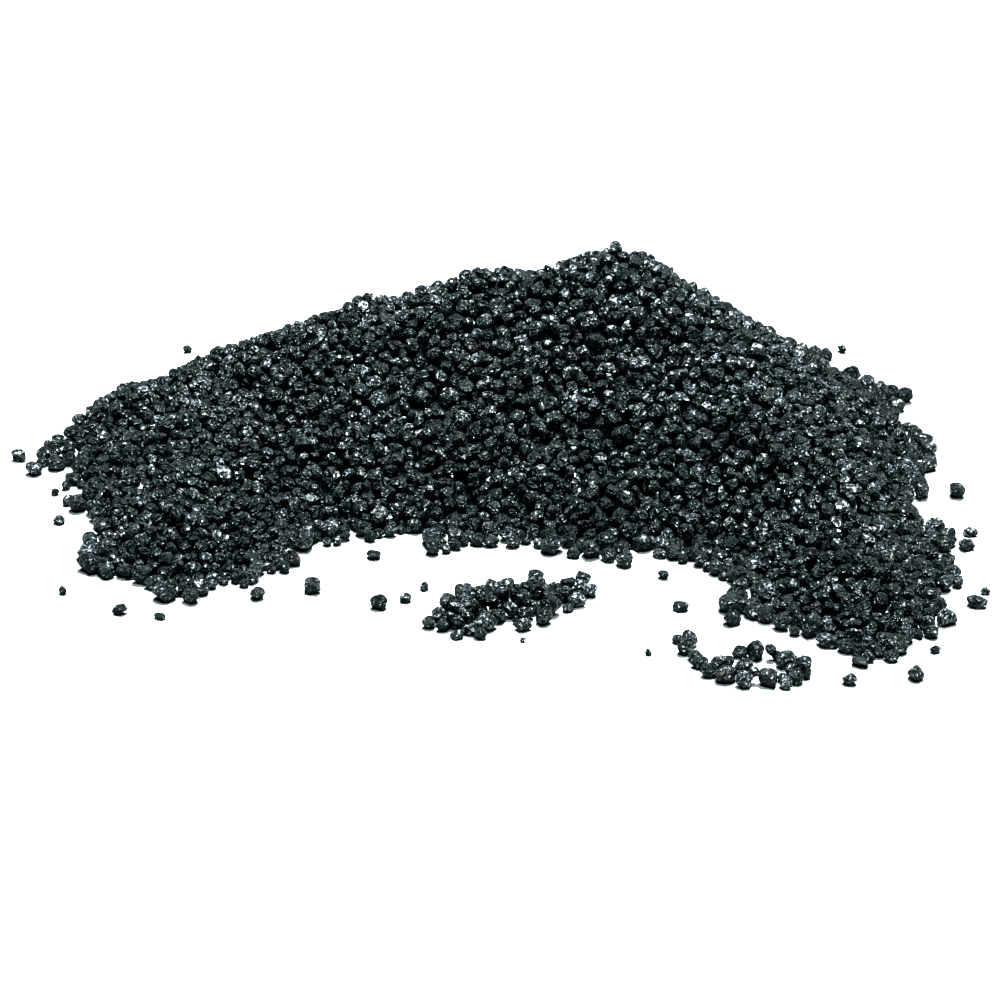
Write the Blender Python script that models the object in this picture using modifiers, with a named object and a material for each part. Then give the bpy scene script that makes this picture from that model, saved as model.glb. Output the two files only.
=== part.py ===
# Black aquarium gravel poured out in one loose heap, with two thin spills in front of it and the grains
# that rolled away from it. Metres, +Z up. Everything rests on the plane Z = 0, and the box is centred on
# the origin.

import math
import random

import bmesh
import bpy
import numpy as np
from mathutils import Euler, Matrix, Vector, noise

MM = 0.001
SEED = 7

# The heap's form, in millimetres: crest lines of x, y and height, from which the flanks fall at one slope
FLANK_SLOPE = 0.70  # rise over run of poured gravel, 35 degrees
CREST_ROUNDING = 4.0  # radius by which a crest is rounded off
FLANK_BLEND = 2.5  # how softly two flanks run into each other
MAIN_CREST = (
    (-97, 26, 10), (-88, 41, 15), (-66, 43, 23), (-50, 43, 30), (-32, 40, 37), (-4, 42, 45), (14, 42, 45),
    (28, 42, 51), (43, 30, 42), (56, 13, 29), (77, -9, 16),
)
LEFT_LOBE = ((-66, 43, 23), (-73, 10, 20), (-72, -28, 16))
MIDDLE_SPUR = ((-32, 40, 37), (-32, 20, 30))
RIGHT_LOBE = ((58, 16, 29), (75, -20, 18), (80, -58, 15))
CRESTS = (MAIN_CREST, LEFT_LOBE, MIDDLE_SPUR, RIGHT_LOBE)

# The mound under the grains, in millimetres
MOUND_REACH = 130.0  # half the side of the square that the mound is worked out on
MOUND_STEP = 2.6
MOUND_INSET = 3.6  # how far the mound lies under the grains' tips
MOUND_SKIRT = -2.0  # level of the mound's top where there is no heap, under the resting plane
MOUND_FLOOR = -5.0

# The grains on the heap, in millimetres
HEAP_GRAIN = (4.8, 7.2)  # smallest and largest, as lumps that a coarse solid can show
HEAP_SPACING = 5.0
HEAP_EDGE = 0.4  # lowest height of the heap's form that still carries a grain
HEAP_TRIES = 60000
HEAP_SINK = 0.46  # depth of a grain's middle under the heap's surface, as a share of its length
GRAIN_REST = 0.34  # height of a resting grain's middle, as a share of its length
HEAP_VOXEL = 0.75
HEAP_TRIANGLES = 6900

# The two spills, in millimetres: the line that each follows and its half width along that line
FRONT_SPILL_LINE = ((-8, -64), (-3, -58), (7, -58), (18, -52))
FRONT_SPILL_HALF_WIDTH = (7.5, 9.5, 8.0, 3.5)
RIGHT_SPILL_LINE = ((40, -75), (42, -84), (49, -91), (58, -93), (65, -88), (60, -82), (53, -80))
RIGHT_SPILL_HALF_WIDTH = (1.5, 2.0, 2.5, 1.5, 1.5, 1.5, 1.0)
SPILL_GRAIN = (3.8, 5.4)
SPILL_SPACING = 3.1
SPILL_CHAIN_STEP = 2.6  # the grains that hold a spill together touch along its line
SPILL_SWAY = 0.9
SPILL_TRIES = 4000
SPILL_EDGE = 2.0  # width of a spill's edge, where the grains lie one deep
SPILL_SLOPE = 0.5  # rise of the grains' middles inside the edge, over run
SPILL_VOXEL = 0.4
SPILL_TRIANGLES = 440

# The stray grains, in millimetres: x, y and the grain's length
STRAYS = (
    (-119, 23, 4.2), (-114, 15, 5.0), (-107, 3, 2.6), (-104, -13, 3.4), (-98, -50, 2.4), (-84, -60, 3.8),
    (-75, -62, 2.8), (-54, -52, 4.2), (-42, -49, 5.0), (-29, -32, 3.6), (-27, -57, 4.6), (-21, -54, 3.4),
    (-17, -48, 2.4), (8, -42, 3.8), (5, -73, 1.8), (32, -79, 2.0), (37, -42, 3.2), (40, -58, 4.0),
    (51, -65, 4.6), (74, -92, 3.8), (77, -84, 4.0), (88, -90, 4.2), (94, -78, 3.0), (106, -56, 4.6),
    (109, -50, 2.6), (108, -27, 4.6), (110, -20, 3.2), (110, 2, 5.0), (101, 66, 2.0),
    (-84, 94, 3.2), (-20, 126, 3.6), (44, 122, 4.0), (92, 94, 3.0),
)
STRAY_FLATTENING = 0.86  # a grain that lies by itself lies on its broad side
STRAY_BASE_SHARE = 0.10  # share of a stray grain's height that its flat resting face cuts off

GRAIN_SHAPE = ((1.0, 1.14), (0.80, 1.0), (0.70, 0.92))  # range of a grain's length, width and height
GRAIN_ROUGHNESS = 0.32  # how far noise moves a corner in or out, as a share of the grain's radius
GRAIN_NOISE_SCALE = 1.7
GRAIN_NOISE_REACH = 50  # each grain reads the noise at a place of its own

CUT_SNAP = 0.0001  # corners this near the resting plane, in millimetres, count as on it

# Wet black stone: colour, roughness
HEAP_STONE = ((0.020, 0.024, 0.026), 0.34)
SPILL_STONE = ((0.022, 0.028, 0.031), 0.32)
STRAY_STONE = ((0.018, 0.025, 0.029), 0.36)


# Scene and collections

def clear_scene():
    for thing in list(bpy.data.objects):
        bpy.data.objects.remove(thing, do_unlink=True)


def new_collection(name, hidden=False):
    collection = bpy.data.collections.new(name)
    collection.hide_render = hidden
    bpy.context.scene.collection.children.link(collection)
    return collection


def stone(name, look):
    colour, roughness = look
    material = bpy.data.materials.new(name)
    material.use_nodes = True
    shader = material.node_tree.nodes["Principled BSDF"]
    shader.inputs["Base Color"].default_value = (*colour, 1.0)
    shader.inputs["Roughness"].default_value = roughness
    shader.inputs["Metallic"].default_value = 0.0
    return material


def new_object(name, mesh, collection, material=None):
    made = bpy.data.objects.new(name, mesh)
    collection.objects.link(made)
    if material:
        mesh.materials.clear()
        mesh.materials.append(material)
    return made


# The heap's form

def crest_field(start, end, x, y):
    """Height of the flanks that fall from one stretch of a crest line."""
    along = np.array(end[:2], float) - start[:2]
    share = ((x - start[0]) * along[0] + (y - start[1]) * along[1]) / (along @ along)
    share = np.clip(share, 0.0, 1.0)
    away = np.hypot(x - start[0] - share * along[0], y - start[1] - share * along[1])
    fall = FLANK_SLOPE * (np.hypot(away, CREST_ROUNDING) - CREST_ROUNDING)
    return start[2] + share * (end[2] - start[2]) - fall


def heap_height(x, y):
    """Height of the heap's surface over x, y, all in millimetres, and below nought outside the heap."""
    fields = [
        crest_field(start, end, x, y)
        for crest in CRESTS
        for start, end in zip(crest[:-1], crest[1:])
    ]
    fields = np.array(fields)
    top = fields.max(axis=0)
    blended = top + FLANK_BLEND * np.log(np.exp((fields - top) / FLANK_BLEND).sum(axis=0))
    return blended - FLANK_BLEND * math.log(2)


def add_mound(bm):
    """The closed mound that carries the grains, with a skirt under the resting plane."""
    cells = round(2 * MOUND_REACH / MOUND_STEP)
    grid = bmesh.ops.create_grid(bm, x_segments=cells, y_segments=cells, size=MOUND_REACH * MM)
    for vertex in grid["verts"]:
        level = float(heap_height(vertex.co.x / MM, vertex.co.y / MM)) - MOUND_INSET
        vertex.co.z = max(level, MOUND_SKIRT) * MM
    faces = {face for vertex in grid["verts"] for face in vertex.link_faces}
    lower = bmesh.ops.extrude_face_region(bm, geom=list(faces), use_keep_orig=True)["geom"]
    for item in lower:
        if isinstance(item, bmesh.types.BMVert):
            item.co.z = MOUND_FLOOR * MM
    bmesh.ops.recalc_face_normals(bm, faces=bm.faces[:])


# Grains

def add_grain(bm, place, length, draw):
    """One rounded, angular grain with its longest side `length`, all in millimetres."""
    shape = [draw.uniform(low, high) for low, high in GRAIN_SHAPE]
    turn = Euler([draw.uniform(0, math.tau) for _ in range(3)]).to_matrix().to_4x4()
    made = bmesh.ops.create_icosphere(bm, subdivisions=1, radius=0.5 * length * MM)
    offset = Vector([draw.uniform(-GRAIN_NOISE_REACH, GRAIN_NOISE_REACH) for _ in range(3)])
    for vertex in made["verts"]:
        push = noise.noise(vertex.co.normalized() * GRAIN_NOISE_SCALE + offset)
        vertex.co *= 1 + GRAIN_ROUGHNESS * push
    placed = Matrix.Translation(Vector(place) * MM) @ turn @ Matrix.Diagonal((*shape, 1.0))
    bmesh.ops.transform(bm, matrix=placed, verts=made["verts"])
    return made["verts"]


def scatter(draw, tries, spacing, sizes, box, accept):
    """Places of grains in a box that keep their distance: rows of x, y and length in millimetres."""
    low, high = np.array([*box, sizes]).T
    tried = low + (high - low) * np.array([[draw.random() for _ in range(3)] for _ in range(tries)])
    tried = tried[accept(*tried.T)]
    placed = np.empty_like(tried)
    count = 0
    for place in tried:
        gap = np.hypot(placed[:count, 0] - place[0], placed[:count, 1] - place[1])
        if (gap >= spacing).all():
            placed[count] = place
            count += 1
    return placed[:count]


# From loose shapes to one closed body

def evaluated_mesh(source):
    bpy.context.view_layer.update()
    graph = bpy.context.evaluated_depsgraph_get()
    return bpy.data.meshes.new_from_object(source.evaluated_get(graph))


def cut_flat(bm):
    """Cuts the body off on the resting plane and closes the cut."""
    everything = bm.verts[:] + bm.edges[:] + bm.faces[:]
    bmesh.ops.bisect_plane(bm, geom=everything, dist=CUT_SNAP * MM, plane_co=(0, 0, 0),
                           plane_no=(0, 0, 1), clear_inner=True)
    rim = [edge for edge in bm.edges if edge.is_boundary]
    bmesh.ops.triangle_fill(bm, edges=rim, use_beauty=True)
    bmesh.ops.triangulate(bm, faces=bm.faces[:])


def keep_largest_body(bm):
    """Removes closed pockets inside the body, specks beside it and what only touches it at a corner."""
    left, largest = set(bm.faces), set()
    while left:
        body, front = set(), [left.pop()]
        while front:
            face = front.pop()
            body.add(face)
            beside = {other for edge in face.edges if len(edge.link_faces) == 2 for other in edge.link_faces}
            front.extend(beside & left)
            left -= beside
        if len(body) > len(largest):
            largest = body
    bmesh.ops.delete(bm, geom=[face for face in bm.faces if face not in largest], context="FACES")


def fused(name, bm, voxel, triangles, helpers):
    """One closed body with a flat base, made of every shape in the bmesh."""
    mesh = bpy.data.meshes.new(name)
    bm.to_mesh(mesh)
    bm.free()
    helper = new_object(name + "_loose", mesh, helpers)
    helper.hide_render = True
    helper.display_type = "WIRE"
    remesh = helper.modifiers.new("fuse", "REMESH")
    remesh.mode = "VOXEL"
    remesh.voxel_size = voxel * MM
    whole = evaluated_mesh(helper)
    thin = helper.modifiers.new("thin", "DECIMATE")
    thin.ratio = triangles / (2 * len(whole.polygons))
    solid = evaluated_mesh(helper)
    bpy.data.objects.remove(helper, do_unlink=True)
    body = bmesh.new()
    body.from_mesh(solid)
    cut_flat(body)
    keep_largest_body(body)
    bmesh.ops.recalc_face_normals(body, faces=body.faces[:])
    body.to_mesh(solid)
    body.free()
    solid.name = name
    return solid


# The pieces

def make_heap(collection, helpers, draw):
    bm = bmesh.new()
    add_mound(bm)
    reach = (-MOUND_REACH, MOUND_REACH)

    def on_heap(x, y, length):
        return heap_height(x, y) > HEAP_EDGE

    for x, y, length in scatter(draw, HEAP_TRIES, HEAP_SPACING, HEAP_GRAIN, (reach, reach), on_heap):
        level = max(float(heap_height(x, y)) - HEAP_SINK * length, GRAIN_REST * length)
        add_grain(bm, (x, y, level), length, draw)
    mesh = fused("heap", bm, HEAP_VOXEL, HEAP_TRIANGLES, helpers)
    return new_object("heap", mesh, collection, stone("heap_stone", HEAP_STONE))


def across_line(x, y, line, half_widths):
    """How far inside a spill's edge each point lies, in millimetres, and below nought outside it."""
    inside = np.full(np.shape(x), -np.inf)
    for start, end, width, next_width in zip(line[:-1], line[1:], half_widths[:-1], half_widths[1:]):
        along = np.array(end, float) - start
        share = ((x - start[0]) * along[0] + (y - start[1]) * along[1]) / (along @ along)
        share = np.clip(share, 0.0, 1.0)
        away = np.hypot(x - start[0] - share * along[0], y - start[1] - share * along[1])
        inside = np.maximum(inside, width + share * (next_width - width) - away)
    return inside


def chain_along(line, step, sway, sizes, draw):
    """Grains that touch each other all along a line: rows of x, y and length in millimetres."""
    places = []
    for start, end in zip(line[:-1], line[1:]):
        run = Vector(end) - Vector(start)
        count = math.ceil(run.length / step)
        for number in range(count):
            middle = Vector(start) + run * (number / count)
            side = Vector((-run.y, run.x)).normalized() * draw.uniform(-sway, sway)
            places.append((*(middle + side), draw.uniform(*sizes)))
    return np.array(places)


def make_spill(name, line, half_widths, collection, helpers, draw, material):
    """Grains lying one and two deep on the resting plane, along a line."""

    def on_spill(x, y, length):
        return across_line(x, y, line, half_widths) > 0

    margin = max(half_widths)
    box = [(min(point[axis] for point in line) - margin, max(point[axis] for point in line) + margin)
           for axis in (0, 1)]
    bm = bmesh.new()
    chain = chain_along(line, SPILL_CHAIN_STEP, SPILL_SWAY, SPILL_GRAIN, draw)
    loose = scatter(draw, SPILL_TRIES, SPILL_SPACING, SPILL_GRAIN, box, on_spill)
    for x, y, length in np.vstack([chain, loose]):
        depth = float(across_line(x, y, line, half_widths))
        heaped = SPILL_SLOPE * max(depth - SPILL_EDGE, 0.0)
        add_grain(bm, (x, y, GRAIN_REST * length + heaped), length, draw)
    mesh = fused(name, bm, SPILL_VOXEL, SPILL_TRIANGLES, helpers)
    return new_object(name, mesh, collection, material)


def make_stray(name, x, y, length, collection, draw, material):
    """One grain that lies by itself on the resting plane, on a small flat face."""
    bm = bmesh.new()
    vertices = add_grain(bm, (x, y, 0), length, draw)
    low = min(vertex.co.z for vertex in vertices)
    high = max(vertex.co.z for vertex in vertices)
    for vertex in vertices:
        vertex.co.z = (vertex.co.z - low) * STRAY_FLATTENING - STRAY_BASE_SHARE * (high - low)
    cut_flat(bm)
    bmesh.ops.recalc_face_normals(bm, faces=bm.faces[:])
    mesh = bpy.data.meshes.new(name)
    bm.to_mesh(mesh)
    bm.free()
    return new_object(name, mesh, collection, material)


def centre_on_origin(pieces, parent):
    """Moves the parent so that the box round all pieces is centred over the origin."""
    corners = np.array([vertex.co for piece in pieces for vertex in piece.data.vertices])
    low, high = corners.min(axis=0), corners.max(axis=0)
    parent.location = (-(low[0] + high[0]) / 2, -(low[1] + high[1]) / 2, 0)
    for piece in pieces:
        piece.parent = parent


def build():
    clear_scene()
    gravel = new_collection("aquarium_gravel_heap")
    helpers = new_collection("helpers", hidden=True)
    draw = random.Random(SEED)
    pieces = [make_heap(gravel, helpers, draw)]
    spill_stone = stone("spill_stone", SPILL_STONE)
    pieces.append(make_spill("front_spill", FRONT_SPILL_LINE, FRONT_SPILL_HALF_WIDTH, gravel, helpers, draw,
                             spill_stone))
    pieces.append(make_spill("right_spill", RIGHT_SPILL_LINE, RIGHT_SPILL_HALF_WIDTH, gravel, helpers, draw,
                             spill_stone))
    stray_stone = stone("stray_stone", STRAY_STONE)
    for number, (x, y, length) in enumerate(STRAYS, start=1):
        pieces.append(make_stray(f"stray_grain_{number:02d}", x, y, length, gravel, draw, stray_stone))
    heap_centre = bpy.data.objects.new("heap_centre", None)
    gravel.objects.link(heap_centre)
    centre_on_origin(pieces, heap_centre)


build()
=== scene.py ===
import math
import random
from collections import defaultdict

import bmesh
import bpy
import numpy as np
from mathutils import Euler, Matrix, Vector, noise
from mathutils.bvhtree import BVHTree
from mathutils.kdtree import KDTree


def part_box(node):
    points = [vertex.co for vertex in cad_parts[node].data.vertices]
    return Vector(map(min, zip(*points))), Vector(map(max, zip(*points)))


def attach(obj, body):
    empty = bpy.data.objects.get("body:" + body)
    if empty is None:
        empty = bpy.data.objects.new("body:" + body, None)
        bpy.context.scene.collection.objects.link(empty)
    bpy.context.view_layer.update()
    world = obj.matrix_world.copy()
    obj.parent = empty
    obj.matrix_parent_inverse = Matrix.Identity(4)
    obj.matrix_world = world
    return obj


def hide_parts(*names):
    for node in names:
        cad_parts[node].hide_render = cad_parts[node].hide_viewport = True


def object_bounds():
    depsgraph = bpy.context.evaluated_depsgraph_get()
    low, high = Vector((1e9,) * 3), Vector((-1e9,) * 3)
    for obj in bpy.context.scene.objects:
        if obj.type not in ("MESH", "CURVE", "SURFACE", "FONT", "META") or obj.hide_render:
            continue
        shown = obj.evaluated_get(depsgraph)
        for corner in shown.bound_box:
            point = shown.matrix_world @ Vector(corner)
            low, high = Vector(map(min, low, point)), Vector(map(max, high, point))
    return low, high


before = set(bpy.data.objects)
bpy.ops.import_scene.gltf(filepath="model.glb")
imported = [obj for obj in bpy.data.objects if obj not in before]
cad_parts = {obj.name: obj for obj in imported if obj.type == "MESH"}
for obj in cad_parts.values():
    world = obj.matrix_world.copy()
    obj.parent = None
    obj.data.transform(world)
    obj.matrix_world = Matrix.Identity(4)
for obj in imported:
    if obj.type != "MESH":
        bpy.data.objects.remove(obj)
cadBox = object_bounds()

print("gravel heap: frame loaded,", len(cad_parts), "nodes")


# Small helpers

def linkObject(name, mesh, material, sharpFrom=None):
    if sharpFrom is not None:
        mesh.set_sharp_from_angle(angle=math.radians(sharpFrom))
    made = bpy.data.objects.new(name, mesh)
    bpy.context.scene.collection.objects.link(made)
    mesh.materials.append(material)
    return made


def unitVector(draw):
    height = draw.uniform(-1, 1)
    turn = draw.uniform(0, math.tau)
    flat = math.sqrt(1 - height * height)
    return Vector((flat * math.cos(turn), flat * math.sin(turn), height))


# Shader groups that every stone here shares

def newGroup(name, inputs, outputs):
    group = bpy.data.node_groups.new(name, "ShaderNodeTree")
    for label, kind, value in inputs:
        socket = group.interface.new_socket(name=label, in_out="INPUT", socket_type=kind)
        if value is not None:
            socket.default_value = value
    for label, kind in outputs:
        group.interface.new_socket(name=label, in_out="OUTPUT", socket_type=kind)
    start = group.nodes.new("NodeGroupInput")
    end = group.nodes.new("NodeGroupOutput")
    return group, start.outputs, end.inputs


def addNode(tree, kind, **settings):
    node = tree.nodes.new(kind)
    for name, value in settings.items():
        setattr(node, name, value)
    return node


def mathNode(tree, operation, first, second=None):
    node = addNode(tree, "ShaderNodeMath", operation=operation)
    for socket, value in zip(node.inputs, (first, second)):
        if value is None:
            continue
        if hasattr(value, "links"):
            tree.links.new(value, socket)
        else:
            socket.default_value = value
    return node.outputs[0]


def rangeNode(tree, value, fromLow, fromHigh, toLow, toHigh):
    node = addNode(tree, "ShaderNodeMapRange")
    tree.links.new(value, node.inputs["Value"])
    for name, number in zip(("From Min", "From Max", "To Min", "To Max"), (fromLow, fromHigh, toLow, toHigh)):
        node.inputs[name].default_value = number
    return node.outputs["Result"]


def stoneLumpsGroup():
    # small chipped lumps with flat sides and creases between them, and a fine tooth over both;
    # sizes in lumps a metre
    group, given, made = newGroup(
        "stoneLumps",
        [("Vector", "NodeSocketVector", None), ("Lumps", "NodeSocketFloat", 900.0),
         ("Tooth", "NodeSocketFloat", 2600.0)],
        [("Height", "NodeSocketFloat"), ("Crease", "NodeSocketFloat"), ("Wear", "NodeSocketFloat")])
    links = group.links
    warp = addNode(group, "ShaderNodeTexNoise")
    warp.inputs["Scale"].default_value = 260.0
    links.new(given["Vector"], warp.inputs["Vector"])
    bend = addNode(group, "ShaderNodeVectorMath", operation="MULTIPLY_ADD")
    links.new(warp.outputs["Color"], bend.inputs[0])
    bend.inputs[1].default_value = (0.006, 0.006, 0.006)
    links.new(given["Vector"], bend.inputs[2])
    cells = addNode(group, "ShaderNodeTexVoronoi", feature="F1", distance="CHEBYCHEV")
    cells.inputs["Randomness"].default_value = 1.0
    links.new(bend.outputs["Vector"], cells.inputs["Vector"])
    links.new(given["Lumps"], cells.inputs["Scale"])
    swell = addNode(group, "ShaderNodeTexNoise")
    swell.inputs["Detail"].default_value = 2.0
    links.new(given["Vector"], swell.inputs["Vector"])
    links.new(mathNode(group, "MULTIPLY", given["Lumps"], 0.55), swell.inputs["Scale"])
    tooth = addNode(group, "ShaderNodeTexNoise")
    tooth.inputs["Detail"].default_value = 2.0
    tooth.inputs["Roughness"].default_value = 0.6
    links.new(given["Vector"], tooth.inputs["Vector"])
    links.new(given["Tooth"], tooth.inputs["Scale"])
    crease = rangeNode(group, cells.outputs["Distance"], 0.30, 0.47, 0.0, 1.0)
    height = mathNode(group, "MULTIPLY", cells.outputs["Distance"], -0.9)
    height = mathNode(group, "ADD", height, mathNode(group, "MULTIPLY", swell.outputs["Fac"], 0.9))
    height = mathNode(group, "ADD", height, mathNode(group, "MULTIPLY", tooth.outputs["Fac"], 0.25))
    links.new(height, made["Height"])
    links.new(crease, made["Crease"])
    links.new(tooth.outputs["Fac"], made["Wear"])
    return group


def grainTintGroup():
    # one grain differs from the next: most are blue black, some slate, a few brown or olive; each is
    # mottled with worn grey patches, and its colour is darkened in its creases as painted shade
    group, given, made = newGroup(
        "grainTint",
        [("Vector", "NodeSocketVector", None), ("Tone", "NodeSocketFloat", 0.5),
         ("Warmth", "NodeSocketFloat", 0.0), ("Crease", "NodeSocketFloat", 0.0),
         ("Patches", "NodeSocketFloat", 1300.0)],
        [("Color", "NodeSocketColor")])
    links = group.links
    ramp = addNode(group, "ShaderNodeValToRGB")
    elements = ramp.color_ramp.elements
    elements[0].position, elements[0].color = 0.0, (0.0006, 0.0022, 0.0026, 1)
    elements[1].position, elements[1].color = 1.0, (0.190, 0.193, 0.196, 1)
    for position, colour in ((0.40, (0.0025, 0.0052, 0.0062, 1)), (0.68, (0.026, 0.031, 0.034, 1))):
        elements.new(position).color = colour
    patches = addNode(group, "ShaderNodeTexNoise")
    patches.inputs["Detail"].default_value = 2.0
    links.new(given["Vector"], patches.inputs["Vector"])
    links.new(given["Patches"], patches.inputs["Scale"])
    wearAndCreaseShade = rangeNode(group, patches.outputs["Fac"], 0.34, 0.66, -0.50, 0.56)
    # painted shade: the colour is darkened along the creases between the lumps
    wearAndCreaseShade = mathNode(group, "SUBTRACT", wearAndCreaseShade, mathNode(group, "MULTIPLY", given["Crease"], 0.70))
    links.new(mathNode(group, "ADD", given["Tone"], wearAndCreaseShade), ramp.inputs["Fac"])
    warm = addNode(group, "ShaderNodeMix", data_type="RGBA", blend_type="MIX")
    warm.inputs["B"].default_value = (0.019, 0.014, 0.0095, 1)
    links.new(given["Warmth"], warm.inputs["Factor"])
    links.new(ramp.outputs["Color"], warm.inputs["A"])
    links.new(warm.outputs["Result"], made["Color"])
    return group


stoneLumps = stoneLumpsGroup()
grainTint = grainTintGroup()


def wetStone(name, look):
    material = bpy.data.materials.new(name)
    material.use_nodes = True
    tree = material.node_tree
    links = tree.links
    shader = tree.nodes["Principled BSDF"]
    shader.inputs["Metallic"].default_value = 0.0
    shader.inputs["IOR"].default_value = look["ior"]
    shader.inputs["Specular IOR Level"].default_value = look["specular"]
    shader.inputs["Coat Roughness"].default_value = look["coatRoughness"]
    place = addNode(tree, "ShaderNodeTexCoord").outputs["Object"]
    tone = addNode(tree, "ShaderNodeAttribute", attribute_name="grainTone").outputs["Fac"]
    warmth = addNode(tree, "ShaderNodeAttribute", attribute_name="grainWarmth").outputs["Fac"]
    tint = addNode(tree, "ShaderNodeGroup", node_tree=grainTint)
    links.new(place, tint.inputs["Vector"])
    links.new(tone, tint.inputs["Tone"])
    links.new(warmth, tint.inputs["Warmth"])
    links.new(tint.outputs["Color"], shader.inputs["Base Color"])
    tint.inputs["Patches"].default_value = look["patches"]
    lumps = addNode(tree, "ShaderNodeGroup", node_tree=stoneLumps)
    # the creases also darken the colour of the stone: painted shade
    links.new(lumps.outputs["Crease"], tint.inputs["Crease"])
    lumps.inputs["Lumps"].default_value = look["lumps"]
    lumps.inputs["Tooth"].default_value = look["tooth"]
    links.new(place, lumps.inputs["Vector"])
    rough = rangeNode(tree, lumps.outputs["Wear"], 0.35, 0.65, *look["roughness"])
    creased = rangeNode(tree, lumps.outputs["Crease"], 0.0, 1.0, 0.0, look["creaseRoughness"])
    links.new(mathNode(tree, "ADD", rough, creased), shader.inputs["Roughness"])
    coat = rangeNode(tree, lumps.outputs["Crease"], 0.0, 1.0, *look["coat"])
    links.new(coat, shader.inputs["Coat Weight"])
    bump = addNode(tree, "ShaderNodeBump")
    bump.inputs["Strength"].default_value = look["bump"]
    bump.inputs["Distance"].default_value = look["depth"]
    links.new(lumps.outputs["Height"], bump.inputs["Height"])
    links.new(bump.outputs["Normal"], shader.inputs["Normal"])
    return material


grainLook = {
    "ior": 1.55,
    "specular": 0.40,
    "roughness": (0.22, 0.42),  # from the smooth glassy patches to the worn ones
    "creaseRoughness": 0.4,  # more, in the creases
    "coat": (0.32, 0.0),  # glassy film, gone in the creases
    "coatRoughness": 0.26,
    "patches": 1300.0,  # worn patches a metre
    "lumps": 1050.0,  # lumps a metre
    "tooth": 2000.0,
    "bump": 1.0,
    "depth": 0.0012,  # metres
}
grainStone = wetStone("grainStone", grainLook)
print("materials made")


# The heap's form, read from its solid

heapForm = {
    "cell": 0.00125,  # metres between the points that are read
    "margin": 0.016,  # metres read round the solid
    "lumpReach": 2,  # cells over which the solid's lumps are bridged
    "blur": 1,  # cells, twice
    "drop": 0.0009,  # how far bridging the lumps raised the flanks
    "slope": 0.7,  # the fall outside the heap's foot
}


def shifted(field, right, up):
    return np.roll(np.roll(field, right, axis=1), up, axis=0)


def blurred(field, reach):
    steps = range(-reach, reach + 1)
    rows = sum(shifted(field, step, 0) for step in steps) / len(steps)
    return sum(shifted(rows, 0, step) for step in steps) / len(steps)


def readForm(nodeName, settings):
    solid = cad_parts[nodeName]
    low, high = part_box(nodeName)
    tree = BVHTree.FromPolygons([vertex.co for vertex in solid.data.vertices],
                                [face.vertices[:] for face in solid.data.polygons])
    cell, margin = settings["cell"], settings["margin"]
    columns = int((high.x - low.x + 2 * margin) / cell) + 1
    rows = int((high.y - low.y + 2 * margin) / cell) + 1
    field = np.zeros((rows, columns))
    for row in range(rows):
        for column in range(columns):
            top = Vector((low.x - margin + column * cell, low.y - margin + row * cell, high.z + cell))
            hit = tree.ray_cast(top, Vector((0, 0, -1)))[0]
            if hit:
                field[row, column] = hit.z
    return {"field": field, "corner": (low.x - margin, low.y - margin), "cell": cell}


def bridgeLumps(form, settings):
    field = form["field"]
    reach = settings["lumpReach"]
    steps = [(right, up) for right in range(-reach, reach + 1) for up in range(-reach, reach + 1)
             if right * right + up * up <= reach * reach + 1]
    bridged = np.max([shifted(field, *step) for step in steps], axis=0) - settings["drop"]
    inside = field > form["cell"]
    edge = inside & ~(shifted(inside, 1, 0) & shifted(inside, -1, 0) & shifted(inside, 0, 1) & shifted(inside, 0, -1))
    edgeCells = np.argwhere(edge)
    foot = KDTree(len(edgeCells))
    for number, (row, column) in enumerate(edgeCells):
        foot.insert((row, column, 0), number)
    foot.balance()
    for row, column in np.argwhere(~inside):
        away = foot.find((row, column, 0))[2] * form["cell"]
        bridged[row, column] = -settings["slope"] * away
    for _ in range(2):
        bridged = blurred(bridged, settings["blur"])
    form["field"] = bridged
    return form


def formAt(form, x, y):
    # height of the form in metres, below nought outside it
    field = form["field"]
    column = (x - form["corner"][0]) / form["cell"]
    row = (y - form["corner"][1]) / form["cell"]
    left, low = int(column), int(row)
    if left < 0 or low < 0 or left >= field.shape[1] - 1 or low >= field.shape[0] - 1:
        return -1.0
    across, up = column - left, row - low
    return ((field[low, left] * (1 - across) + field[low, left + 1] * across) * (1 - up)
            + (field[low + 1, left] * (1 - across) + field[low + 1, left + 1] * across) * up)


form = bridgeLumps(readForm("heap", heapForm), heapForm)
print("heap form read, top at", round(float(form["field"].max()) * 1000, 1), "mm")


# Shapes of grains, each about one unit in radius

grainShapes = {
    "seed": 11,
    "count": 30,
    "fineness": 2,  # of the ball that a grain is cut from
    "swell": 0.30,  # how far broad noise moves the surface
    "chip": 0.16,  # how far fine noise moves it
    "dents": (1, 4),
    "dentWidth": (0.45, 0.85),
    "dentDepth": (0.06, 0.20),
    "breaks": (4, 8),  # flat broken faces on a grain
    "breakDepth": (0.64, 0.88),
    "length": (1.02, 1.24),
    "width": (0.90, 1.04),
    "height": (0.82, 1.00),
    "weld": 0.16,  # corners nearer than this become one
}
deepShapes = {**grainShapes, "seed": 12, "count": 12, "fineness": 1, "dents": (0, 0), "breaks": (1, 3)}
looseShapes = {**grainShapes, "seed": 13, "count": 24, "fineness": 3, "dents": (0, 2), "weld": 0.07}
sharpEdges = 22.0  # degrees between two faces, from which their edge looks broken


def dent(bm, draw, settings):
    aim = unitVector(draw)
    width, depth = draw.uniform(*settings["dentWidth"]), draw.uniform(*settings["dentDepth"])
    for vertex in bm.verts:
        away = (vertex.co.normalized() - aim).length
        if away < width:
            vertex.co -= aim * depth * (1 - (away / width) ** 2)


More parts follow.
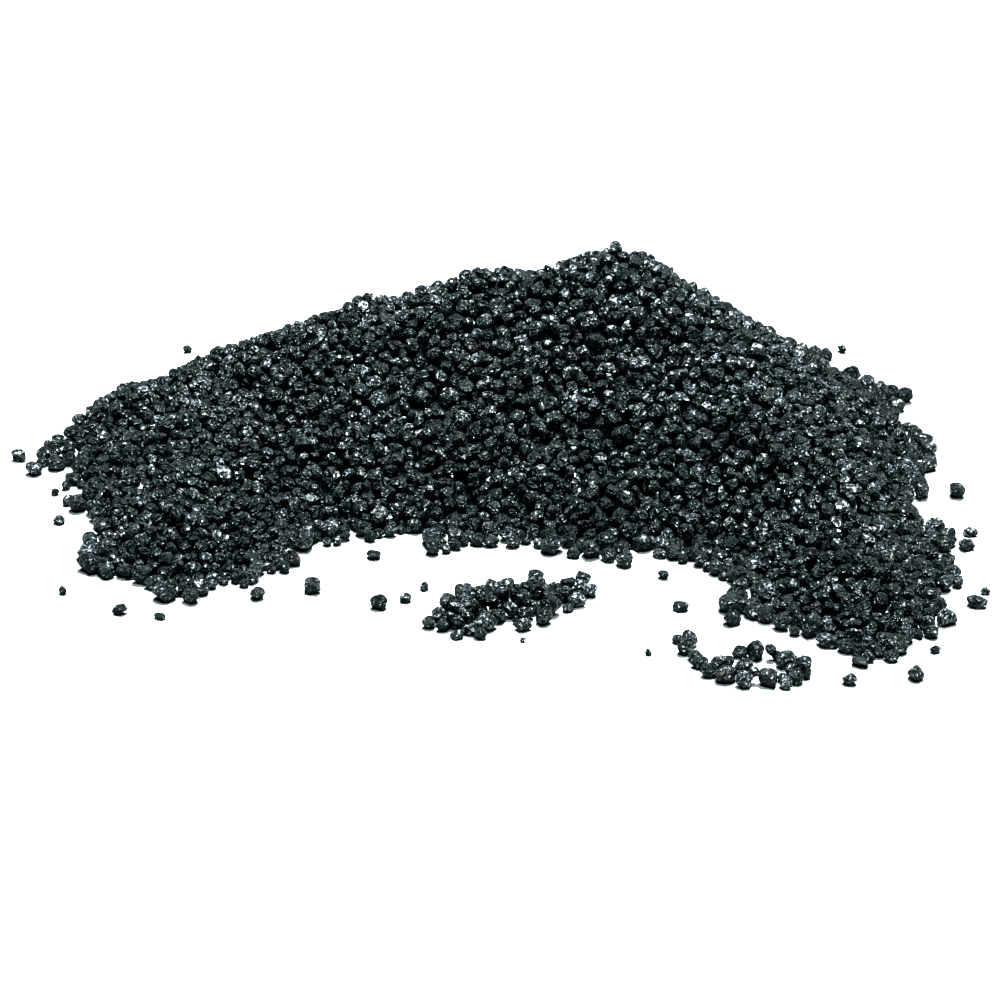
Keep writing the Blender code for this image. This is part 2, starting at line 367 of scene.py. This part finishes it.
def breakFace(bm, draw, settings):
    aim = unitVector(draw)
    depth = draw.uniform(*settings["breakDepth"])
    geometry = bm.verts[:] + bm.edges[:] + bm.faces[:]
    bmesh.ops.bisect_plane(bm, geom=geometry, plane_co=aim * depth, plane_no=aim, clear_outer=True)
    bmesh.ops.holes_fill(bm, edges=[edge for edge in bm.edges if edge.is_boundary])


def makeShape(draw, settings):
    bm = bmesh.new()
    bmesh.ops.create_icosphere(bm, subdivisions=settings["fineness"], radius=1.0)
    offset = unitVector(draw) * 40
    for vertex in bm.verts:
        swell = settings["swell"] * noise.noise(vertex.co * 0.9 + offset)
        chip = settings["chip"] * noise.noise(vertex.co * 2.6 + offset)
        vertex.co *= 1 + swell + chip
    for _ in range(draw.randint(*settings["breaks"])):
        breakFace(bm, draw, settings)
    for _ in range(draw.randint(*settings["dents"])):
        dent(bm, draw, settings)
    bmesh.ops.remove_doubles(bm, verts=bm.verts[:], dist=settings["weld"])
    bmesh.ops.dissolve_degenerate(bm, edges=bm.edges[:], dist=0.01)
    size = [draw.uniform(*settings[side]) for side in ("length", "width", "height")]
    bmesh.ops.scale(bm, vec=size, verts=bm.verts[:])
    bmesh.ops.triangulate(bm, faces=bm.faces[:])
    bmesh.ops.recalc_face_normals(bm, faces=bm.faces[:])
    ball = (3 * bm.calc_volume() / (4 * math.pi)) ** (1 / 3)
    bmesh.ops.scale(bm, vec=(1 / ball,) * 3, verts=bm.verts[:])
    bm.verts.index_update()
    corners = np.array([vertex.co for vertex in bm.verts])
    faces = np.array([[vertex.index for vertex in face.verts] for face in bm.faces])
    bm.free()
    return {"corners": corners, "faces": faces, "cells": faceCells(len(faces))}


def faceCells(count):
    # two faces share each small square of the grain's own part of the UV map
    side = math.ceil(math.sqrt(math.ceil(count / 2)))
    gap = 0.08
    lower = np.array(((gap, gap), (1 - 2 * gap, gap), (gap, 1 - 2 * gap)))
    upper = 1 - lower
    cells = [(upper if number % 2 else lower) + (number // 2 % side, number // 2 // side)
             for number in range(count)]
    return np.array(cells) / side


def makeShapes(settings):
    draw = random.Random(settings["seed"])
    return [makeShape(draw, settings) for _ in range(settings["count"])]


heapShapes = makeShapes(grainShapes)
hiddenShapes = makeShapes(deepShapes)
singleShapes = makeShapes(looseShapes)
for name, shapes in (("heap", heapShapes), ("hidden", hiddenShapes), ("single", singleShapes)):
    print(name, "shapes:", len(shapes), "with faces:", sorted(len(shape["faces"]) for shape in shapes))


# Settling: a grain is dropped, rolls to the lowest place near it and comes to rest on those before it

settling = {
    "touch": 1.05,  # rough grains keep a little farther apart than balls would
    "step": 0.55,  # of its radius, that a grain rolls in one go
    "rolls": 5,
    "ways": 6,
    "cell": 0.0058,  # metres, at least the largest grain
}


def newPile():
    return {"cells": defaultdict(list), "grains": []}


def nearGrains(pile, x, y):
    column, row = int(x // settling["cell"]), int(y // settling["cell"])
    return [grain for right in (-1, 0, 1) for up in (-1, 0, 1)
            for grain in pile["cells"].get((column + right, row + up), ())]


def restHeight(near, x, y, radius, bed):
    z = bed
    for otherX, otherY, otherZ, otherRadius in near:
        reach = (radius + otherRadius) * settling["touch"]
        room = reach * reach - (x - otherX) ** 2 - (y - otherY) ** 2
        if room > 0:
            z = max(z, otherZ + math.sqrt(room))
    return z


def settle(pile, x, y, radius, bedAt):
    z = restHeight(nearGrains(pile, x, y), x, y, radius, bedAt(x, y, radius))
    step = settling["step"] * radius
    for _ in range(settling["rolls"]):
        near = nearGrains(pile, x, y)
        best = (z, x, y)
        for way in range(settling["ways"]):
            angle = math.tau * way / settling["ways"]
            nextX, nextY = x + step * math.cos(angle), y + step * math.sin(angle)
            nextZ = restHeight(near, nextX, nextY, radius, bedAt(nextX, nextY, radius))
            best = min(best, (nextZ, nextX, nextY))
        if best[0] > z - 0.05 * radius:
            break
        z, x, y = best
    return x, y, z


def layGrain(pile, x, y, z, radius):
    pile["cells"][(int(x // settling["cell"]), int(y // settling["cell"]))].append((x, y, z, radius))
    pile["grains"].append((x, y, z, radius))


heapGrains = {
    "seed": 5,
    "tries": 100000,
    "radius": (0.00168, 0.00190),  # mean at the left end and at the right end, metres
    "spread": 0.00034,
    "smallest": 0.00105,
    "largest": 0.00260,
    "bedDepth": 0.0066,  # the bed lies this far under the heap's form
    "proud": (-0.0006, 0.0007),  # how far a grain's top may stand over the form
    "fringe": (0.0018, 0.0052),  # how far beyond the foot loose grains lie, at the left and right ends
    "fringePatch": 0.014,  # metres between stretches with many loose grains
    "inset": (0.0014, 0.30, 0.16),  # form's height at which grains end: most, and over what share at the ends
    "sit": 0.88,  # height of a resting grain's middle, of its radius
    "hidden": 0.0038,  # metres under the form, from which a grain is hidden by others
    "reach": 1.3,  # a grain's farthest corner, of its radius
}
smallGrains = {
    **heapGrains,
    "seed": 6,
    "tries": 45000,
    "radius": (0.00112, 0.00118),
    "spread": 0.00014,
    "smallest": 0.0008,
    "shallow": 0.0075,  # they fill gaps only where the form is lower than this
}


def heapBedAt(x, y, radius):
    return max(formAt(form, x, y) - heapGrains["bedDepth"] + radius, heapGrains["sit"] * radius)


def drawRadius(draw, across, settings):
    small, large = settings["radius"]
    radius = draw.gauss(small + (large - small) * across, settings["spread"])
    return min(max(radius, settings["smallest"]), settings["largest"])


def insideBox(x, y, z, reach):
    low, high = cadBox
    return (low[0] + reach < x < high[0] - reach and low[1] + reach < y < high[1] - reach
            and z < high[2] - reach)


def fringeAt(draw, x, y, across):
    patch = noise.noise(Vector((x, y, 0.07)) / heapGrains["fringePatch"])
    left, right = heapGrains["fringe"]
    widest = left + (right - left) * min(1.0, 2.5 * across)
    return draw.random() ** 2 * widest * min(max(0.35 + 1.6 * patch, 0.1), 1.0)


def insetAt(across):
    most, left, right = heapGrains["inset"]
    return most * max(0.0, 1 - across / left, 1 - (1 - across) / right)


def fillHeap(pile, settings):
    draw = random.Random(settings["seed"])
    corner, cell, field = form["corner"], form["cell"], form["field"]
    width, depth = field.shape[1] * cell, field.shape[0] * cell
    for _ in range(settings["tries"]):
        across = draw.random()
        x, y = corner[0] + across * width, corner[1] + draw.random() * depth
        radius = drawRadius(draw, across, settings)
        proud = draw.uniform(*settings["proud"])
        edge = insetAt(across) - heapForm["slope"] * fringeAt(draw, x, y, across)
        if not edge < formAt(form, x, y) < settings.get("shallow", 1.0):
            continue
        x, y, z = settle(pile, x, y, radius, heapBedAt)
        level = formAt(form, x, y)
        resting = z < radius and level > edge
        if not resting and z + radius > level + proud:
            continue
        if insideBox(x, y, z, settings["reach"] * radius):
            layGrain(pile, x, y, z, radius)


heapPile = newPile()
fillHeap(heapPile, heapGrains)
fillHeap(heapPile, smallGrains)
print("heap grains:", len(heapPile["grains"]))


# Joining grains into one mesh

grainTones = {
    "tone": (0.555, 0.21),  # mean and spread
    "warmShare": 0.04,  # of the grains, brown ones
    "warmest": 0.50,
    "lowShade": 0.185,  # painted shade: how much darker grains at the floor are, gone at lowReach
    "lowReach": 0.020,
    "floorGap": 0.00002,  # metres
}


def placeGrain(shape, grain, draw):
    x, y, z, radius = grain
    lying = z < radius
    tilts = [draw.uniform(0, math.tau) for _ in range(3)]
    if lying:
        tilts[0], tilts[1] = draw.gauss(0, 0.15), draw.gauss(0, 0.15)
    turn = np.array(Euler(tilts).to_matrix())
    placed = shape["corners"] @ turn.T * radius + (x, y, z)
    low = placed[:, 2].min() - grainTones["floorGap"]
    if lying or low < 0:
        placed[:, 2] -= low
    return placed


def joinPlaced(name, placed, material, shaded=False):
    # placed holds a grain's shape and its corners in the frame
    draw = random.Random(name)
    side = math.ceil(math.sqrt(len(placed)))
    corners, faces, cells, tones, warmths = [], [], [], [], []
    count = 0
    for number, (shape, points) in enumerate(placed):
        corners.append(points)
        faces.append(shape["faces"] + count)
        cells.append((shape["cells"] + (number % side, number // side)) / side)
        count += len(points)
        tone = draw.gauss(*grainTones["tone"])
        # painted shade: grains low down get a darker tone
        if shaded:
            tone -= grainTones["lowShade"] * max(0.0, 1 - points[:, 2].mean() / grainTones["lowReach"])
        tone = min(max(tone, 0.0), 1.0)
        warm = grainTones["warmest"] * draw.random() if draw.random() < grainTones["warmShare"] else 0.0
        tones.append(np.full(len(points), tone))
        warmths.append(np.full(len(points), warm))
    corners, faces, cells = np.concatenate(corners), np.concatenate(faces), np.concatenate(cells)
    mesh = bpy.data.meshes.new(name)
    mesh.vertices.add(len(corners))
    mesh.vertices.foreach_set("co", corners.astype(np.float32).ravel())
    mesh.loops.add(faces.size)
    mesh.loops.foreach_set("vertex_index", faces.astype(np.int32).ravel())
    mesh.polygons.add(len(faces))
    mesh.polygons.foreach_set("loop_start", np.arange(0, faces.size, 3, dtype=np.int32))
    mesh.update(calc_edges=True)
    for label, values in (("grainTone", tones), ("grainWarmth", warmths)):
        attribute = mesh.attributes.new(label, "FLOAT", "POINT")
        attribute.data.foreach_set("value", np.concatenate(values).astype(np.float32))
    grainMap = mesh.uv_layers.new(name="OFBake")  # a square of its own for each grain
    grainMap.uv.foreach_set("vector", cells.astype(np.float32).ravel())
    mesh.validate()
    return linkObject(name, mesh, material, sharpFrom=sharpEdges)


def reportPiece(piece, count):
    print(piece.name + ":", count, "grains,", len(piece.data.polygons), "triangles")


def joinHeap():
    draw = random.Random(23)
    ordered = sorted(heapPile["grains"])
    names = ("far_left", "left", "middle", "right", "far_right")
    share = math.ceil(len(ordered) / len(names))
    for number, name in enumerate(names):
        placed = []
        for grain in ordered[number * share:(number + 1) * share]:
            deep = grain[2] + grain[3] < formAt(form, grain[0], grain[1]) - heapGrains["hidden"]
            shape = draw.choice(hiddenShapes if deep else heapShapes)
            placed.append((shape, placeGrain(shape, grain, draw)))
        sector = joinPlaced("heap_grains_" + name, placed, grainStone, shaded=True)
        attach(sector, "root")
        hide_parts("heap")
        reportPiece(sector, len(placed))


joinHeap()


# The two thin spills in front of the heap

spillGrains = {
    "seed": 31,
    "tries": 12000,
    "radius": (0.00164, 0.00026),  # mean and spread
    "smallest": 0.0011,
    "largest": 0.0024,
    "over": 0.0008,  # how far a grain's top may stand over the solid
    "ring": 0.0004,  # metres round a point in which the solid's height is read
}


def topOf(nodeName):
    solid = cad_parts[nodeName]
    tree = BVHTree.FromPolygons([vertex.co for vertex in solid.data.vertices],
                                [face.vertices[:] for face in solid.data.polygons])
    ring = spillGrains["ring"]

    def heightAt(x, y):
        levels = []
        for right, up in ((0, 0), (ring, 0), (-ring, 0), (0, ring), (0, -ring)):
            hit = tree.ray_cast(Vector((x + right, y + up, 1)), Vector((0, 0, -1)))[0]
            levels.append(hit.z if hit else 0.0)
        return max(levels) if min(levels) > 0 else 0.0
    return heightAt


def floorAt(x, y, radius):
    return heapGrains["sit"] * radius


def makeSpill(name, nodeName):
    draw = random.Random(spillGrains["seed"])
    low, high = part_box(nodeName)
    heightAt = topOf(nodeName)
    pile = newPile()
    for _ in range(spillGrains["tries"]):
        x, y = draw.uniform(low.x, high.x), draw.uniform(low.y, high.y)
        radius = draw.gauss(*spillGrains["radius"])
        radius = min(max(radius, spillGrains["smallest"]), spillGrains["largest"])
        if heightAt(x, y) == 0.0:
            continue
        x, y, z = settle(pile, x, y, radius, floorAt)
        level = heightAt(x, y)
        inside = low.x + radius < x < high.x - radius and low.y + radius < y < high.y - radius
        if inside and level > 0 and (z < radius or z + radius < level + spillGrains["over"]):
            layGrain(pile, x, y, z, radius)
    placed = []
    for grain in pile["grains"]:
        shape = draw.choice(singleShapes)
        placed.append((shape, placeGrain(shape, grain, draw)))
    spill = joinPlaced(name, placed, grainStone)
    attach(spill, "root")
    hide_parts(nodeName)
    reportPiece(spill, len(placed))


makeSpill("front_spill_grains", "front_spill")
makeSpill("right_spill_grains", "right_spill")


# Stray grains, each in the box of its own solid

def makeStrays():
    draw = random.Random(41)
    names = sorted(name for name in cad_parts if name.startswith("stray_grain_"))
    placed = []
    for name in names:
        low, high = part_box(name)
        shape = draw.choice(singleShapes)
        turn = np.array(Euler((draw.gauss(0, 0.3), draw.gauss(0, 0.3), draw.uniform(0, math.tau))).to_matrix())
        points = shape["corners"] @ turn.T
        size = (np.array(high) - np.array(low)) / (points.max(axis=0) - points.min(axis=0))
        points = (points - points.min(axis=0)) * size + np.array(low)
        placed.append((shape, points))
    strays = joinPlaced("stray_grains", placed, grainStone, shaded=True)
    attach(strays, "root")
    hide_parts(*names)
    reportPiece(strays, len(placed))


makeStrays()


# The dark bed under the grains: the heap's core, and under the toe a thin dark sheet that is painted shade in the
# gaps between the grains

bedLook = {
    "step": 0.0022,
    "under": 0.0062,  # metres under the form
    "lump": 0.0008,
    "thin": 0.0006,  # thickness of the dark sheet under the toe, painted shade in the gaps between its grains
    "toe": 0.0014,  # the sheet ends where the form is lower than this
}


def makeBed(settings):
    rows, columns = form["field"].shape
    width, depth = columns * form["cell"], rows * form["cell"]
    bm = bmesh.new()
    bmesh.ops.create_grid(bm, x_segments=int(width / settings["step"]), y_segments=int(depth / settings["step"]),
                          size=0.5)
    centre = Vector((form["corner"][0] + width / 2, form["corner"][1] + depth / 2, 0))
    bmesh.ops.transform(bm, matrix=Matrix.Translation(centre) @ Matrix.Diagonal((width, depth, 1, 1)), verts=bm.verts[:])
    outside = []
    for vertex in bm.verts:
        level = formAt(form, vertex.co.x, vertex.co.y)
        if level < settings["toe"]:
            outside.append(vertex)
        lump = settings["lump"] * noise.noise(vertex.co / 0.0035)
        # under the toe the bed is a thin dark sheet: painted shade between the grains
        vertex.co.z = max(level - settings["under"] + lump, settings["thin"])
    bmesh.ops.delete(bm, geom=outside, context="VERTS")
    lower = bmesh.ops.extrude_face_region(bm, geom=bm.faces[:], use_keep_orig=True)["geom"]
    for item in lower:
        if isinstance(item, bmesh.types.BMVert):
            item.co.z = 0.0
    bmesh.ops.recalc_face_normals(bm, faces=bm.faces[:])
    mesh = bpy.data.meshes.new("heap_bed")
    bm.to_mesh(mesh)
    bm.free()
    return linkObject("heap_bed", mesh, grainStone)


heapBedPiece = makeBed(bedLook)
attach(heapBedPiece, "root")
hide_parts("heap")
print("bed made")


# Floor, lights and camera

studio = {
    "floor": (0.27, 0.27, 0.27),
    "floorSize": 12.0,
    "world": (0.55, 0.92, 1.0),
    "worldStrength": 0.04,
    "look": "Very High Contrast",
    "black": (0.0062, 0.0034, 0.0034),  # what the picture shows as black, and so a little teal in the dark
}
photoCamera = {
    "aim": (0.0045, -0.0159, 0.0),  # the point of the floor at the middle of the photograph
    "distance": 0.700,
    "elevation": 25.0,  # degrees
    "lens": 105.0,
    "sensor": 36.0,
}
lamps = [
    # name, place, aim, size, watts, colour
    ("key", (0.02, -0.44, 0.66), (0, 0, 0.02), 0.30, 6.0, (0.90, 0.98, 1.0)),
    ("side", (0.80, 0.10, 0.50), (0.05, 0, 0.02), 0.30, 0.6, (0.80, 0.92, 1.0)),
    ("top", (0.06, 0.04, 0.74), (0, 0, 0.02), 0.26, 6.0, (0.88, 0.97, 1.0)),
]
ceiling = {
    # a broad even light from above, which also keeps the floor pale far behind the heap
    "place": (0.06, 0.04, 0.74),
    "strength": 11.0,
    "spread": 15.0,  # degrees
    "colour": (0.88, 0.97, 1.0),
}


def aimAt(thing, place, aim):
    thing.location = place
    thing.rotation_euler = (Vector(aim) - Vector(place)).to_track_quat("-Z", "Y").to_euler()


def makeStudio():
    bm = bmesh.new()
    bmesh.ops.create_grid(bm, x_segments=1, y_segments=1, size=studio["floorSize"] / 2)
    mesh = bpy.data.meshes.new("floor")
    bm.to_mesh(mesh)
    bm.free()
    paper = bpy.data.materials.new("palePaper")
    paper.use_nodes = True
    shader = paper.node_tree.nodes["Principled BSDF"]
    shader.inputs["Base Color"].default_value = (*studio["floor"], 1)
    shader.inputs["Roughness"].default_value = 0.8
    floor = linkObject("floor", mesh, paper)
    world = bpy.data.worlds.new("studio")
    world.use_nodes = True
    background = world.node_tree.nodes["Background"]
    background.inputs["Color"].default_value = (*studio["world"], 1)
    background.inputs["Strength"].default_value = studio["worldStrength"]
    bpy.context.scene.world = world
    for name, place, aim, size, watts, colour in lamps:
        light = bpy.data.lights.new(name, "AREA")
        light.shape = "DISK"
        light.size = size
        light.energy = watts
        light.color = colour
        lamp = bpy.data.objects.new(name, light)
        bpy.context.scene.collection.objects.link(lamp)
        aimAt(lamp, place, aim)
    light = bpy.data.lights.new("ceiling", "SUN")
    light.energy = ceiling["strength"]
    light.angle = math.radians(ceiling["spread"])
    light.color = ceiling["colour"]
    lamp = bpy.data.objects.new("ceiling", light)
    bpy.context.scene.collection.objects.link(lamp)
    aimAt(lamp, ceiling["place"], (0, 0, 0))
    lens = bpy.data.cameras.new("photoCamera")
    lens.lens = photoCamera["lens"]
    lens.sensor_width = photoCamera["sensor"]
    camera = bpy.data.objects.new("photoCamera", lens)
    bpy.context.scene.collection.objects.link(camera)
    elevation = math.radians(photoCamera["elevation"])
    aim = Vector(photoCamera["aim"])
    away = Vector((0, -math.cos(elevation), math.sin(elevation))) * photoCamera["distance"]
    aimAt(camera, aim + away, aim)
    bpy.context.scene.camera = camera
    picture = bpy.context.scene.view_settings
    picture.view_transform = "Standard"
    picture.look = studio["look"]
    picture.use_curve_mapping = True
    picture.curve_mapping.black_level = studio["black"]
    picture.curve_mapping.update()


makeStudio()
print("studio made")
